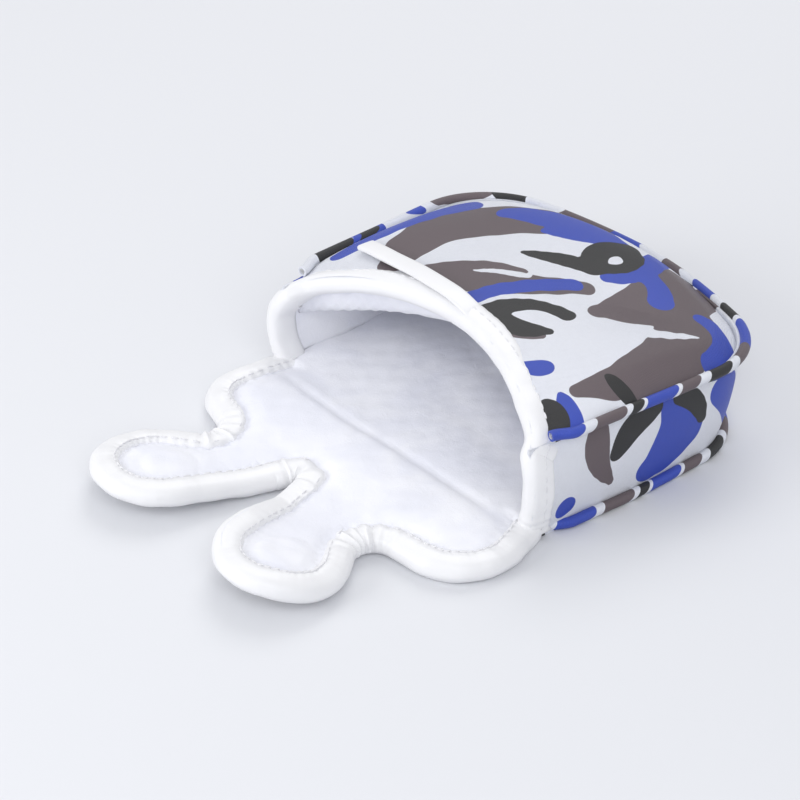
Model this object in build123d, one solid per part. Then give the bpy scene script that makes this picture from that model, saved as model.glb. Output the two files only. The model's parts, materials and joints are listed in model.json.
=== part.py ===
"""Head cover for a mallet putter: a padded leatherette pouch with a scooped mouth and a fold-over
flap that ends in two round lobes, one each side of the shaft.

Frame: the origin is under the middle of the mouth, on the plane of the base. +X is to the right of
someone who looks into the mouth, +Y runs into the pouch, and +Z is up. Lengths are in millimetres.
"""

import math
import os

from build123d import *

# The padded sheet that every wall is cut from: leatherette, foam and plush.
SKIN = 1.0
FOAM = 2.5
PLUSH = 1.5
WALL = SKIN + FOAM + PLUSH

# The pouch, in plan. Its sides spread a little towards the back.
MOUTH_HALF_WIDTH = 60.0
BACK_HALF_WIDTH = 64.0
WIDEST_Y = 62.0
BACK_Y = 102.6
BACK_RADIUS = 170.0
CORNER_RADIUS = 27.0

# The pouch, in height. The top panel is a shallow dome.
SEAM_Z = 34.0
DOME_TOP_Z = 44.7
DOME_RADIUS = 213.0
DOME_Y = 37.5

# The mouth: an arc across the top panel, and a raked front edge on each side wall.
MOUTH_DEPTH = 21.0
MOUTH_CORNER_Y = 1.0
ARCH_RADIUS = (MOUTH_HALF_WIDTH**2 + (MOUTH_DEPTH - MOUTH_CORNER_Y) ** 2) / (
    2 * (MOUTH_DEPTH - MOUTH_CORNER_Y)
)
ARCH_CENTRE_Y = MOUTH_DEPTH - ARCH_RADIUS

# The flap, in plan.
FLAP_HALF_WIDTH = 65.2
SHOULDER_Y = -38.5
SHOULDER_RADIUS = 15.0
NECK_HALF_WIDTH = 37.5
NECK_Y = -41.0
WAIST_RADIUS = 6.0
LOBE_X = 28.5
LOBE_Y = -66.0
LOBE_RADIUS = 22.0
SLOT_END_Y = -45.5
SLOT_HALF_WIDTH = 2.6

# The folds: each leaves a gap in the rigid sheets, which a round strip fills.
FLAP_FOLD_Y = -7.0
LOBE_FOLD_Y = -49.0
FOLD_GAP = 4.6
FOLD_STRIP_RADIUS = 2.4
FOLD_TONGUE = 1.0
LEFT_LOBE_LIFT = 10.0
RIGHT_LOBE_LIFT = 13.0

# Binding tape, piping and magnets.
TAPE = 0.8
TAPE_WIDTH = 7.0
PIPING_RADIUS = 1.7
CORD_RADIUS = 1.0
PIPING_OFFSET = 1.2
MAGNET_RADIUS = 8.0
MAGNET_THICKNESS = 2.0
KEEPER_X = 28.5
KEEPER_Y = 36.0
TAIL_LENGTH = 24.0
TAIL_WIDTH = 6.4
TAIL_THICKNESS = 1.6
TAIL_END = (-50.0, 26.5, 41.8)
TAIL_ROOT = (-28.0, 23.4, 43.8)

# The flap lies on its tape, so its sheets are that much off the floor.
FLAP_MIDDLE_Z = TAPE + WALL / 2

FAR = 300.0
FRONT = -40.0


def slab(y_low, y_high, z_low=-FAR, z_high=FAR, x_low=-FAR, x_high=FAR):
    """A box between these planes."""
    size = (x_high - x_low, y_high - y_low, z_high - z_low)
    centre = ((x_high + x_low) / 2, (y_high + y_low) / 2, (z_high + z_low) / 2)
    return Pos(*centre) * Box(*size)


def prism(face, low, high):
    """The plan face drawn up from one height to another."""
    return extrude(Pos(0, 0, low) * face, high - low, dir=(0, 0, 1))


# ---------------------------------------------------------------- pouch


def pouch_plan(inset):
    """The pouch's outline, moved in by inset. It runs on past the mouth, where the cuts are made."""
    spread = (BACK_HALF_WIDTH - MOUTH_HALF_WIDTH) / WIDEST_Y

    def half_width(y):
        return MOUTH_HALF_WIDTH + spread * y

    low, high = FRONT * 2, BACK_Y + 20
    sides = Polyline(
        (-half_width(low), low),
        (half_width(low), low),
        (half_width(high), high),
        (-half_width(high), high),
        close=True,
    )
    back = Pos(0, BACK_Y - BACK_RADIUS) * Circle(BACK_RADIUS)
    outline = make_face(sides) & back
    corners = outline.vertices().filter_by(lambda v: v.Y > WIDEST_Y)
    outline = fillet(corners, CORNER_RADIUS)
    return offset(outline, amount=-inset, kind=Kind.ARC) if inset else outline


def dome(inset):
    """The ball that the top panel is part of."""
    radius = DOME_RADIUS - inset
    return Pos(0, DOME_Y, DOME_TOP_Z - DOME_RADIUS) * Sphere(radius)


def body(inset):
    """The pouch as a full solid, with every face moved in by inset."""
    plan = pouch_plan(inset)
    return prism(plan, inset, SEAM_Z - inset) + (prism(plan, inset, 60) & dome(inset))


def mouth_cut(forward):
    """What the mouth takes out of the top panel. It stops short by forward."""
    return Pos(0, ARCH_CENTRE_Y, 0) * Cylinder(ARCH_RADIUS - forward, FAR)


def rake_cut(forward):
    """What the raked front takes out of the side walls. It stops short by forward."""
    lean = math.degrees(math.atan2(MOUTH_CORNER_Y, SEAM_Z))
    front = Pos(0, -FAR / 2 - forward, 0) * Box(FAR, FAR, FAR)
    return Rot(-lean, 0, 0) * front


BODIES = {inset: body(inset) for inset in (0, SKIN, SKIN + FOAM, WALL)}


def top_layer(outer, inner):
    """One layer of the top panel, between two insets."""
    shell = BODIES[outer] - BODIES[inner]
    return shell & slab(FRONT, FAR, SEAM_Z - inner, FAR) - mouth_cut(0)


def side_layer(outer, inner):
    """One layer of the side wall, between two insets."""
    ring = pouch_plan(outer) - pouch_plan(inner)
    wall = prism(ring, inner, SEAM_Z - inner)
    return (wall & slab(FRONT, FAR)) - rake_cut(0)


def bottom_layer(outer, inner):
    """One layer of the base, out to the fold in front of the mouth."""
    sheet = prism(pouch_plan(outer), outer, inner)
    return sheet & slab(FLAP_FOLD_Y + FOLD_GAP, FAR)


def mouth_binding():
    """Tape folded over the mouth's edge, on the top panel and both side walls, before the walls
    that it wraps are taken out of it."""
    thick = body(-TAPE) - body(WALL + TAPE)
    split = SEAM_Z - WALL - TAPE
    over = (thick & slab(FRONT, FAR, split, FAR)) & mouth_cut(-TAPE_WIDTH) - mouth_cut(TAPE)
    sides = (thick & slab(FRONT, FAR, WALL, split)) & rake_cut(-TAPE_WIDTH)
    return over + sides - rake_cut(TAPE)


def piping_path(z):
    """The line that a seam's piping follows, behind the mouth's binding."""
    start = z * MOUTH_CORNER_Y / SEAM_Z + TAPE_WIDTH + 3
    behind = Pos(0, start + FAR / 2) * Rectangle(FAR, FAR)
    outline = (pouch_plan(-PIPING_OFFSET) & behind).face().outer_wire()
    kept = [edge for edge in outline.edges() if edge.center().Y > start + 1]
    return Pos(0, 0, z) * Wire(kept)


def round_bar(path, radius):
    """A round section drawn along a path."""
    return sweep(Plane(origin=path @ 0, z_dir=path % 0) * Circle(radius), path=path)


def piping(z):
    """A seam's piping: its printed cover and the cord in it."""
    path = piping_path(z)
    cord = round_bar(path, CORD_RADIUS)
    return round_bar(path, PIPING_RADIUS) - cord - BODIES[0], cord


def on_dome(x, y, height):
    """A plane that lies on the dome, above its surface by height."""
    centre = Vector(0, DOME_Y, DOME_TOP_Z - DOME_RADIUS)
    flat = Vector(x, y, 0) - Vector(0, DOME_Y, 0)
    up = math.sqrt(DOME_RADIUS**2 - flat.length**2)
    normal = Vector(flat.X, flat.Y, up).normalized()
    return Plane(origin=centre + normal * (DOME_RADIUS + height), z_dir=normal)


def keeper(side):
    """A magnet in the top panel's foam. side is -1 for left and 1 for right."""
    middle = -SKIN - FOAM / 2
    return on_dome(side * KEEPER_X, KEEPER_Y, middle) * Cylinder(MAGNET_RADIUS, MAGNET_THICKNESS)


def binding_tail():
    """The loose end of the mouth's tape, which stands off the left of the top panel."""
    root, end = Vector(*TAIL_ROOT), Vector(*TAIL_END)
    middle = (root + end) * 0.5
    run = (end - root).normalized()
    across = Vector(0, 0, 1).cross(run).normalized()
    plane = Plane(middle, x_dir=run, z_dir=run.cross(across))
    return plane * Box(TAIL_LENGTH, TAIL_WIDTH, TAIL_THICKNESS)


# ---------------------------------------------------------------- flap


def lobe_plan(side):
    """One lobe laid flat: a disc whose two sides run straight back to the neck."""
    disc = Pos(side * LOBE_X, LOBE_Y) * Circle(LOBE_RADIUS)
    inner, outer = side * SLOT_HALF_WIDTH, side * NECK_HALF_WIDTH
    root = Polyline((inner, SLOT_END_Y), (inner, NECK_Y), (outer, NECK_Y), (outer, NECK_Y - 1))
    return make_hull(disc.edges() + root.edges())


def eased(outline, radius):
    """The outline with its inside corners rounded to this radius."""
    return offset(offset(outline, radius, kind=Kind.ARC), -radius, kind=Kind.ARC)


def flap_plan():
    """The whole flap laid flat: shoulders, neck, two lobes, and the slot for the shaft."""
    shoulders = Pos(0, SHOULDER_Y / 2) * Rectangle(2 * FLAP_HALF_WIDTH, -SHOULDER_Y)
    shoulders = fillet(shoulders.vertices().filter_by(lambda v: v.Y < -1), SHOULDER_RADIUS)
    neck_end = SLOT_END_Y + SLOT_HALF_WIDTH
    neck = Pos(0, (SHOULDER_Y + neck_end) / 2) * Rectangle(2 * NECK_HALF_WIDTH, SHOULDER_Y - neck_end)
    outline = eased(shoulders + neck + lobe_plan(-1) + lobe_plan(1), SLOT_HALF_WIDTH - 0.2)
    around_slot = Rectangle(2 * WAIST_RADIUS + 4 * SLOT_HALF_WIDTH, FAR)
    return outline + (eased(outline, WAIST_RADIUS) - around_slot)


def lobe_frame(side):
    """What lifts a lobe from flat to where it rests."""
    lift = LEFT_LOBE_LIFT if side < 0 else RIGHT_LOBE_LIFT
    pivot = Pos(0, LOBE_FOLD_Y, FLAP_MIDDLE_Z)
    return pivot * Rot(-lift, 0, 0) * Pos(0, -LOBE_FOLD_Y, -FLAP_MIDDLE_Z)


def region(name):
    """The space of one part of the flap: the middle, or a lobe."""
    if name == "flap":
        return slab(LOBE_FOLD_Y + FOLD_GAP, FLAP_FOLD_Y - FOLD_GAP)
    low, high = (-FAR, 0) if name == "left_lobe" else (0, FAR)
    return slab(-FAR, LOBE_FOLD_Y - FOLD_GAP, x_low=low, x_high=high)


FLAP = flap_plan()


def flap_layer(name, low, high):
    """One layer of the flap's middle or of a lobe, laid flat."""
    return prism(FLAP, TAPE + low, TAPE + high) & region(name)


def flap_tape(name):
    """Tape folded over the flap's edge, laid flat."""
    ring = offset(FLAP, amount=TAPE, kind=Kind.ARC) - offset(FLAP, amount=-TAPE_WIDTH, kind=Kind.ARC)
    tape = prism(ring, 0, TAPE + WALL + TAPE) - prism(FLAP, TAPE, TAPE + WALL)
    return tape & region(name)


def fold_strip(y, x_low, x_high):
    """The stretch of padded sheet that bends at a fold, with a tongue to the sheet behind it."""
    bar = Pos((x_low + x_high) / 2, y, FLAP_MIDDLE_Z) * Rot(0, 90, 0)
    bar = bar * Cylinder(FOLD_STRIP_RADIUS, x_high - x_low)
    low = FLAP_MIDDLE_Z - FOLD_TONGUE / 2
    return bar + slab(y, y + FOLD_GAP, low, low + FOLD_TONGUE, x_low, x_high)


# ---------------------------------------------------------------- assembly


def pouch_nodes():
    """Every piece that stays with the pouch."""
    layers = {"panel": (0, SKIN), "foam": (SKIN, SKIN + FOAM), "lining": (SKIN + FOAM, WALL)}
    nodes = {}
    for layer, span in layers.items():
        nodes["top_" + layer] = top_layer(*span)
        nodes["side_" + layer] = side_layer(*span)
        nodes["bottom_" + layer] = bottom_layer(*span)
    hem = mouth_binding()
    for layer in layers:
        hem = hem - nodes["top_" + layer] - nodes["side_" + layer]
    nodes["mouth_binding"] = hem
    nodes["binding_tail"] = binding_tail() - hem
    for name, side in (("left", -1), ("right", 1)):
        magnet = keeper(side)
        nodes[name + "_keeper_magnet"] = magnet
        nodes["top_foam"] = nodes["top_foam"] - magnet
    nodes["top_piping"], nodes["top_piping_cord"] = piping(SEAM_Z)
    nodes["bottom_piping"], nodes["bottom_piping_cord"] = piping(PIPING_RADIUS)
    nodes["flap_fold_strip"] = fold_strip(FLAP_FOLD_Y, -MOUTH_HALF_WIDTH, MOUTH_HALF_WIDTH)
    return nodes


def flap_nodes():
    """Every piece of the flap's middle."""
    nodes = {
        "flap_panel": flap_layer("flap", 0, SKIN),
        "flap_foam": flap_layer("flap", SKIN, SKIN + FOAM),
        "flap_lining": flap_layer("flap", SKIN + FOAM, WALL),
    }
    tape = flap_tape("flap").solids()
    for name, low, high in (("left", -FAR, -20), ("slot", -20, 20), ("right", 20, FAR)):
        nodes[name + "_flap_binding"] = [s for s in tape if low < s.center().X < high]
    for name, side in (("left", -1), ("right", 1)):
        ends = sorted((side * 2 * SLOT_HALF_WIDTH, side * NECK_HALF_WIDTH))
        nodes[name + "_lobe_fold_strip"] = fold_strip(LOBE_FOLD_Y, *ends)
    return nodes


def lobe_nodes(name, side):
    """Every piece of one lobe, lifted to where it rests."""
    seat = Pos(side * LOBE_X, LOBE_Y, TAPE + SKIN + FOAM / 2)
    magnet = seat * Cylinder(MAGNET_RADIUS, MAGNET_THICKNESS)
    flat = {
        "panel": flap_layer(name, 0, SKIN),
        "foam": flap_layer(name, SKIN, SKIN + FOAM) - magnet,
        "lining": flap_layer(name, SKIN + FOAM, WALL),
        "binding": flap_tape(name),
        "magnet": magnet,
    }
    return {f"{name}_{piece}": lobe_frame(side) * shape for piece, shape in flat.items()}


def main():
    os.makedirs("parts", exist_ok=True)
    nodes = {
        **pouch_nodes(),
        **flap_nodes(),
        **lobe_nodes("left_lobe", -1),
        **lobe_nodes("right_lobe", 1),
    }
    for name, shape in nodes.items():
        if isinstance(shape, list):
            shape = Compound(children=shape)
        export_step(shape, f"parts/{name}.step")
        box = shape.bounding_box()
        print(f"{name:24} x {box.min.X:7.1f} {box.max.X:7.1f}  y {box.min.Y:7.1f} {box.max.Y:7.1f}"
              f"  z {box.min.Z:6.1f} {box.max.Z:6.1f}")


main()
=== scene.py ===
# %% [markdown]
# # A padded head cover for a mallet putter
#
# The cover is a pouch of padded leatherette with a plush lining. It lies open on its base: the mouth
# faces the reader, and a flap with two round lobes lies in front of it. This notebook dresses the
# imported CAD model, piece by piece. Lengths are written in millimetres and turned into metres at the
# moment a mesh is made.

# %% Load the frame
import json
import math
import random

import bmesh
import bpy
import numpy as np
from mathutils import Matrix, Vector
from mathutils.geometry import delaunay_2d_cdt


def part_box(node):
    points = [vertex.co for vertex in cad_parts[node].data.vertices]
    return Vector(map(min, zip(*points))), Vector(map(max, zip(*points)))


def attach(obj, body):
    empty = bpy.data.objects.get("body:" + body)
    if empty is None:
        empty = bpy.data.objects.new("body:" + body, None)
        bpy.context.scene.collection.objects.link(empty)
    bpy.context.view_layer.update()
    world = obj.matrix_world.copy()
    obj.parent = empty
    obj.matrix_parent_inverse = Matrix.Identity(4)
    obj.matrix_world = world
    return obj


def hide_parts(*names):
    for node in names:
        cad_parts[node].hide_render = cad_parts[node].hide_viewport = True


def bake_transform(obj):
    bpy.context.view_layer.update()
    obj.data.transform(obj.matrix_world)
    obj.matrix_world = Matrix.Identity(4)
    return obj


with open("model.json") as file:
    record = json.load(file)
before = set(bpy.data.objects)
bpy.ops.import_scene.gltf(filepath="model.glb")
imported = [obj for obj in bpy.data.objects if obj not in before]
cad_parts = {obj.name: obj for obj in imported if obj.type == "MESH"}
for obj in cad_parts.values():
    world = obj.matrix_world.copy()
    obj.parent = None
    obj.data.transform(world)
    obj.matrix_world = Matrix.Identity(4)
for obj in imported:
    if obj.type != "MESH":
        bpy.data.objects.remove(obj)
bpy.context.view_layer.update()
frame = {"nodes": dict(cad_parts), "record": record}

MM = 0.001

# %% [markdown]
# ## Sizes
#
# Most sizes can be read from the CAD nodes' boxes, so they are. The few that a box can't give, such as
# the radius of a curved edge, are named here once.

# %% Read the sizes from the frame


def low(node, axis):
    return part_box(node)[0][axis] / MM


def high(node, axis):
    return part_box(node)[1][axis] / MM


X, Y, Z = 0, 1, 2
FOLDS = {j["name"]: j["pos_m"][Y] / MM for j in frame["record"]["behaviour"]["joints"]}

SKIN = high("bottom_panel", Z)
FOAM = high("bottom_foam", Z) - SKIN
PLUSH = high("bottom_lining", Z) - SKIN - FOAM
WALL = SKIN + FOAM + PLUSH
HALF_WALL = WALL / 2
TAPE = low("flap_panel", Z)
FLAP_MIDDLE = TAPE + HALF_WALL

MOUTH_HALF = high("flap_fold_strip", X)
BACK_Y = high("top_panel", Y)
DOME_TOP = high("top_panel", Z)
PIPING_RADIUS = (high("top_piping", Z) - low("top_piping", Z)) / 2
SEAM_Z = low("top_piping", Z) + PIPING_RADIUS
FLAP_FOLD = FOLDS["flap_fold"]
LOBE_FOLD = FOLDS["left_lobe_fold"]

SIDE_SPREAD = 4.0 / 62.0
SIDE_LEAN = math.hypot(1, SIDE_SPREAD)
BACK_RADIUS = 170.0
CORNER_RADIUS = 27.0
DOME_RADIUS = 213.0
DOME_Y = 37.5
MOUTH_CORNER_Y = 1.0
ARCH_RADIUS = 100.0
ARCH_CENTRE_Y = -79.0
TAPE_WIDTH = 7.5
print(f"wall {WALL:.1f} mm, seam at {SEAM_Z:.1f} mm, pouch {2 * MOUTH_HALF:.0f} mm wide at the mouth")

# %% [markdown]
# ## The camera, the floor and the light
#
# The camera comes first, so that each piece can be looked at as it is made. It stands to the right of
# the mouth and looks down at it through a long lens. The light is a pale sky with one broad lamp.

# %% Camera, floor and lamps
camera = bpy.data.objects.new("camera", bpy.data.cameras.new("camera"))
scene = bpy.context.scene
scene.collection.objects.link(camera)
scene.camera = camera
camera.location = (0.479, -0.390, 0.439)
camera.rotation_euler = (math.radians(90 - 34.2), 0, math.radians(50.8))
camera.data.lens = 110
camera.data.sensor_width = 36
scene.view_settings.view_transform = "Standard"


def area_lamp(name, place, aim, size, watts, colour):
    """A soft square lamp that points from place to aim."""
    lamp = bpy.data.objects.new(name, bpy.data.lights.new(name, "AREA"))
    lamp.data.size = size
    lamp.data.energy = watts
    lamp.data.color = colour
    lamp.location = place
    lamp.rotation_euler = (Vector(aim) - Vector(place)).to_track_quat("-Z", "Y").to_euler()
    scene.collection.objects.link(lamp)
    return lamp


area_lamp("key", (-0.55, 0.65, 0.95), (0, 0, 0), 0.7, 4.6, (1.0, 0.99, 0.97))
area_lamp("fill", (0.9, -0.5, 0.9), (0, 0, 0), 1.0, 5.6, (0.97, 0.98, 1.0))
area_lamp("mouth", (-0.25, -0.75, 0.35), (0, 0.03, 0.02), 0.5, 3.0, (1.0, 1.0, 1.0))
world = bpy.data.worlds.new("pale room")
scene.world = world
world.use_nodes = True
world.node_tree.nodes["Background"].inputs["Color"].default_value = (0.93, 0.94, 0.97, 1)
world.node_tree.nodes["Background"].inputs["Strength"].default_value = 0.66

floor_mesh = bpy.data.meshes.new("floor")
floor_mesh.from_pydata([(-3, -3, 0), (3, -3, 0), (3, 3, 0), (-3, 3, 0)], [], [(0, 1, 2, 3)])
floor = bpy.data.objects.new("floor", floor_mesh)
scene.collection.objects.link(floor)
floor_material = bpy.data.materials.new("floor paper")
floor_material.use_nodes = True
floor_shader = floor_material.node_tree.nodes["Principled BSDF"]
floor_shader.inputs["Base Color"].default_value = (0.74, 0.75, 0.78, 1)
floor_shader.inputs["Roughness"].default_value = 0.9
floor_mesh.materials.append(floor_material)
print("camera at", tuple(round(c, 3) for c in camera.location))

# %% [markdown]
# ## Shared shader groups
#
# Three effects are used by more than one finish, so each is a node group with named sockets: the fine
# cross grain that is rolled into leatherette, the soft pile of plush, and the shallow creases of tape
# that has been pulled round a bend. A group hands out only numbers and normals, and the shader itself
# stays in each material.

# %% Helpers that wire shader nodes


def node_group(name, inputs, outputs):
    """An empty shader group with its sockets: {name: default} in, {name: socket type} out."""
    tree = bpy.data.node_groups.new(name, "ShaderNodeTree")
    for socket, default in inputs.items():
        made = tree.interface.new_socket(socket, in_out="INPUT", socket_type="NodeSocketFloat")
        made.default_value = default
    for socket, kind in outputs.items():
        tree.interface.new_socket(socket, in_out="OUTPUT", socket_type=kind)
    return tree


class Wiring:
    """Short ways to add nodes to one tree and join them."""

    def __init__(self, tree):
        self.tree = tree

    def add(self, kind, settings=None, **inputs):
        made = self.tree.nodes.new(kind)
        for key, value in (settings or {}).items():
            setattr(made, key, value)
        for key, value in inputs.items():
            self.feed(made, key.replace("_", " "), value)
        return made

    def feed(self, node, socket, value):
        target = node.inputs[int(socket[1:])] if socket[0] == "#" else node.inputs[socket]
        if isinstance(value, bpy.types.NodeSocket):
            self.tree.links.new(value, target)
        else:
            target.default_value = value

    def math(self, operation, first, second=0.0, clamp=False):
        made = self.add("ShaderNodeMath", {"operation": operation, "use_clamp": clamp})
        self.feed(made, "#0", first)
        self.feed(made, "#1", second)
        return made.outputs[0]

    def remap(self, value, start, end, out_start=0.0, out_end=1.0):
        made = self.add("ShaderNodeMapRange", {"interpolation_type": "SMOOTHSTEP"})
        for socket, given in (("Value", value), ("From Min", start), ("From Max", end),
                              ("To Min", out_start), ("To Max", out_end)):
            self.feed(made, socket, given)
        return made.outputs["Result"]

    def mix(self, amount, first, second, blend="MIX"):
        made = self.add("ShaderNodeMix", {"data_type": "RGBA", "blend_type": blend})
        for index, given in ((0, amount), (6, first), (7, second)):
            self.feed(made, f"#{index}", given)
        return made.outputs[2]

    def bump(self, height, strength, distance, normal=None):
        made = self.add("ShaderNodeBump", Strength=strength, Distance=distance, Height=height)
        if normal is not None:
            self.feed(made, "Normal", normal)
        return made.outputs["Normal"]


print("wiring helpers ready")

# %% The cross grain of leatherette


def make_grain():
    """Two crossed sets of fine ridges and a little noise: the height of an embossed grain."""
    tree = node_group("cross grain", {"Pitch mm": 0.85}, {"Height": "NodeSocketFloat"})
    wire = Wiring(tree)
    given = wire.add("NodeGroupInput")
    place = wire.add("ShaderNodeTexCoord").outputs["Object"]
    split = wire.add("ShaderNodeSeparateXYZ", Vector=place)
    run = wire.math("ADD", split.outputs["X"], split.outputs["Z"])
    turns = wire.math("DIVIDE", 2000 * math.pi, given.outputs["Pitch mm"])
    ridges = []
    for sign in ("ADD", "SUBTRACT"):
        across = wire.math(sign, run, split.outputs["Y"])
        wave = wire.math("SINE", wire.math("MULTIPLY", across, turns))
        ridges.append(wire.math("POWER", wire.math("ABSOLUTE", wave), 0.7))
    cells = wire.math("MULTIPLY", ridges[0], ridges[1])
    speck = wire.add("ShaderNodeTexNoise", Vector=place, Scale=900.0, Detail=2.0)
    rough = wire.math("MULTIPLY", speck.outputs["Fac"], 0.35)
    out = wire.add("NodeGroupOutput")
    wire.feed(out, "Height", wire.math("ADD", cells, rough))
    return tree


def make_pile():
    """The nap of plush: fine fibres, clumps a few millimetres across, and where the nap lies flat."""
    tree = node_group("pile", {"Clump scale": 260.0},
                      {"Height": "NodeSocketFloat", "Lie": "NodeSocketFloat"})
    wire = Wiring(tree)
    given = wire.add("NodeGroupInput")
    place = wire.add("ShaderNodeTexCoord").outputs["Object"]
    fibre = wire.add("ShaderNodeTexNoise", Vector=place, Scale=2400.0, Detail=3.0, Roughness=0.7)
    clump = wire.add("ShaderNodeTexNoise", Vector=place, Detail=4.0, Roughness=0.6, Distortion=0.4)
    wire.feed(clump, "Scale", given.outputs["Clump scale"])
    lie = wire.add("ShaderNodeTexNoise", Vector=place, Scale=38.0, Detail=3.0, Distortion=0.8)
    height = wire.math("ADD", wire.math("MULTIPLY", fibre.outputs["Fac"], 0.45), clump.outputs["Fac"])
    out = wire.add("NodeGroupOutput")
    wire.feed(out, "Height", height)
    wire.feed(out, "Lie", wire.remap(lie.outputs["Fac"], 0.35, 0.7))
    return tree


def make_creases():
    """The small creases and pores of smooth tape."""
    tree = node_group("tape creases", {"Crease scale": 140.0}, {"Height": "NodeSocketFloat"})
    wire = Wiring(tree)
    given = wire.add("NodeGroupInput")
    place = wire.add("ShaderNodeTexCoord").outputs["Object"]
    crease = wire.add("ShaderNodeTexNoise", {"noise_type": "RIDGED_MULTIFRACTAL"},
                      Vector=place, Detail=3.0, Distortion=0.6)
    wire.feed(crease, "Scale", given.outputs["Crease scale"])
    pore = wire.add("ShaderNodeTexVoronoi", Vector=place, Scale=2600.0)
    fine = wire.math("MULTIPLY", pore.outputs["Distance"], 0.25)
    out = wire.add("NodeGroupOutput")
    wire.feed(out, "Height", wire.math("ADD", crease.outputs["Fac"], fine))
    return tree


GRAIN, PILE, CREASES = make_grain(), make_pile(), make_creases()
print("groups:", GRAIN.name, PILE.name, CREASES.name)

# %% [markdown]
# ## The finishes
#
# The print on the leatherette is three inks on white. Where each ink lies isn't drawn in the shader: a
# mesh carries, at every point, the distance in millimetres to the edge of each ink, and the shader
# only asks which side of that edge it is on. The edge stays sharp at any size, and the same finish
# works on a panel, a gusset and a length of piping.

# %% Printed leatherette
INKS = {"brown": (0.135, 0.105, 0.115, 1), "blue": (0.035, 0.075, 0.480, 1),
        "charcoal": (0.020, 0.020, 0.021, 1)}
WHITE_GROUND = (0.87, 0.89, 0.97, 1)


def new_material(name, **sockets):
    """A material, its wiring and its shader, with constants set on the shader itself."""
    material = bpy.data.materials.new(name)
    material.use_nodes = True
    shader = material.node_tree.nodes["Principled BSDF"]
    for socket, value in sockets.items():
        shader.inputs[socket.replace("_", " ")].default_value = value
    return material, Wiring(material.node_tree), shader


def printed_leatherette():
    material, wire, shader = new_material("printed leatherette", Coat_Weight=0.12, Coat_Roughness=0.35)
    grain = wire.add("ShaderNodeGroup", {"node_tree": GRAIN}).outputs["Height"]
    place = wire.add("ShaderNodeTexCoord").outputs["Object"]
    wear = wire.add("ShaderNodeTexNoise", Vector=place, Scale=30.0, Detail=4.0).outputs["Fac"]
    colour = wire.mix(wear, WHITE_GROUND, (0.90, 0.92, 0.98, 1))
    for ink, tint in INKS.items():
        edge = wire.add("ShaderNodeAttribute", {"attribute_name": ink}).outputs["Fac"]
        mask = wire.remap(edge, 0.09, -0.09)
        worn = wire.mix(wear, tint, tuple(min(1.0, c * 1.18) for c in tint[:3]) + (1,))
        colour = wire.mix(mask, colour, worn)
    # Painted shade: the print is darkened by about a fifth in the grain's valleys, where shade would fall in
    # them.
    valley_shade_fac = wire.remap(grain, 0.05, 0.6)
    valley_shade_colour = wire.mix(0.3, colour, (0.3, 0.3, 0.3, 1), "MULTIPLY")
    wire.feed(shader, "Base Color", wire.mix(valley_shade_fac, valley_shade_colour, colour))
    wire.feed(shader, "Roughness", wire.remap(wear, 0.2, 0.8, 0.44, 0.56))
    wire.feed(shader, "Normal", wire.bump(grain, 0.8, 0.00018))
    return material


LEATHERETTE = printed_leatherette()
print("finish:", LEATHERETTE.name)

# %% Plush, tape, thread and the hidden finishes


def plush():
    material, wire, shader = new_material("plush cloth", Roughness=0.95, Sheen_Weight=0.35,
                                          Sheen_Roughness=0.5)
    pile = wire.add("ShaderNodeGroup", {"node_tree": PILE})
    colour = wire.mix(pile.outputs["Lie"], (0.80, 0.81, 0.88, 1), (0.87, 0.875, 0.92, 1))
    wire.feed(shader, "Base Color", colour)
    wire.feed(shader, "Normal", wire.bump(pile.outputs["Height"], 0.5, 0.0004))
    return material


def binding_tape():
    material, wire, shader = new_material("binding tape", Coat_Weight=0.08, Coat_Roughness=0.3)
    place = wire.add("ShaderNodeTexCoord").outputs["Object"]
    crease = wire.add("ShaderNodeGroup", {"node_tree": CREASES}).outputs["Height"]
    tone = wire.add("ShaderNodeTexNoise", Vector=place, Scale=55.0, Detail=3.0).outputs["Fac"]
    wire.feed(shader, "Base Color", wire.mix(tone, (0.80, 0.80, 0.82, 1), (0.86, 0.86, 0.87, 1)))
    wire.feed(shader, "Roughness", wire.remap(tone, 0.25, 0.75, 0.36, 0.48))
    wire.feed(shader, "Normal", wire.bump(crease, 0.25, 0.00025))
    return material


def thread():
    material, wire, shader = new_material("thread", Roughness=0.7)
    place = wire.add("ShaderNodeTexCoord").outputs["Object"]
    ply = wire.add("ShaderNodeTexNoise", Vector=place, Scale=1800.0, Detail=1.0).outputs["Fac"]
    wire.feed(shader, "Base Color", wire.mix(ply, (0.70, 0.70, 0.72, 1), (0.84, 0.84, 0.86, 1)))
    wire.feed(shader, "Normal", wire.bump(ply, 0.4, 0.0001))
    return material


def speckled(name, dark, light, scale, roughness, bump, metallic=0.0):
    """A plain finish with a fine speckle, for pieces that the cover hides."""
    material, wire, shader = new_material(name, Metallic=metallic)
    place = wire.add("ShaderNodeTexCoord").outputs["Object"]
    speck = wire.add("ShaderNodeTexNoise", Vector=place, Scale=scale, Detail=4.0).outputs["Fac"]
    wire.feed(shader, "Base Color", wire.mix(speck, dark, light))
    wire.feed(shader, "Roughness", wire.remap(speck, 0.2, 0.8, roughness - 0.08, roughness + 0.08))
    wire.feed(shader, "Normal", wire.bump(speck, bump, 0.0003))
    return material


PLUSH_CLOTH, TAPE_WHITE, THREAD = plush(), binding_tape(), thread()
FOAM_SHEET = speckled("foam sheet", (0.62, 0.60, 0.52, 1), (0.80, 0.78, 0.70, 1), 900.0, 0.9, 0.6)
CORD = speckled("cotton cord", (0.70, 0.70, 0.68, 1), (0.82, 0.82, 0.80, 1), 500.0, 0.6, 0.2)
NICKEL = speckled("nickel", (0.55, 0.54, 0.52, 1), (0.64, 0.63, 0.61, 1), 700.0, 0.28, 0.05, 1.0)
print("finishes:", [m.name for m in (PLUSH_CLOTH, TAPE_WHITE, THREAD, FOAM_SHEET, CORD, NICKEL)])
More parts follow.
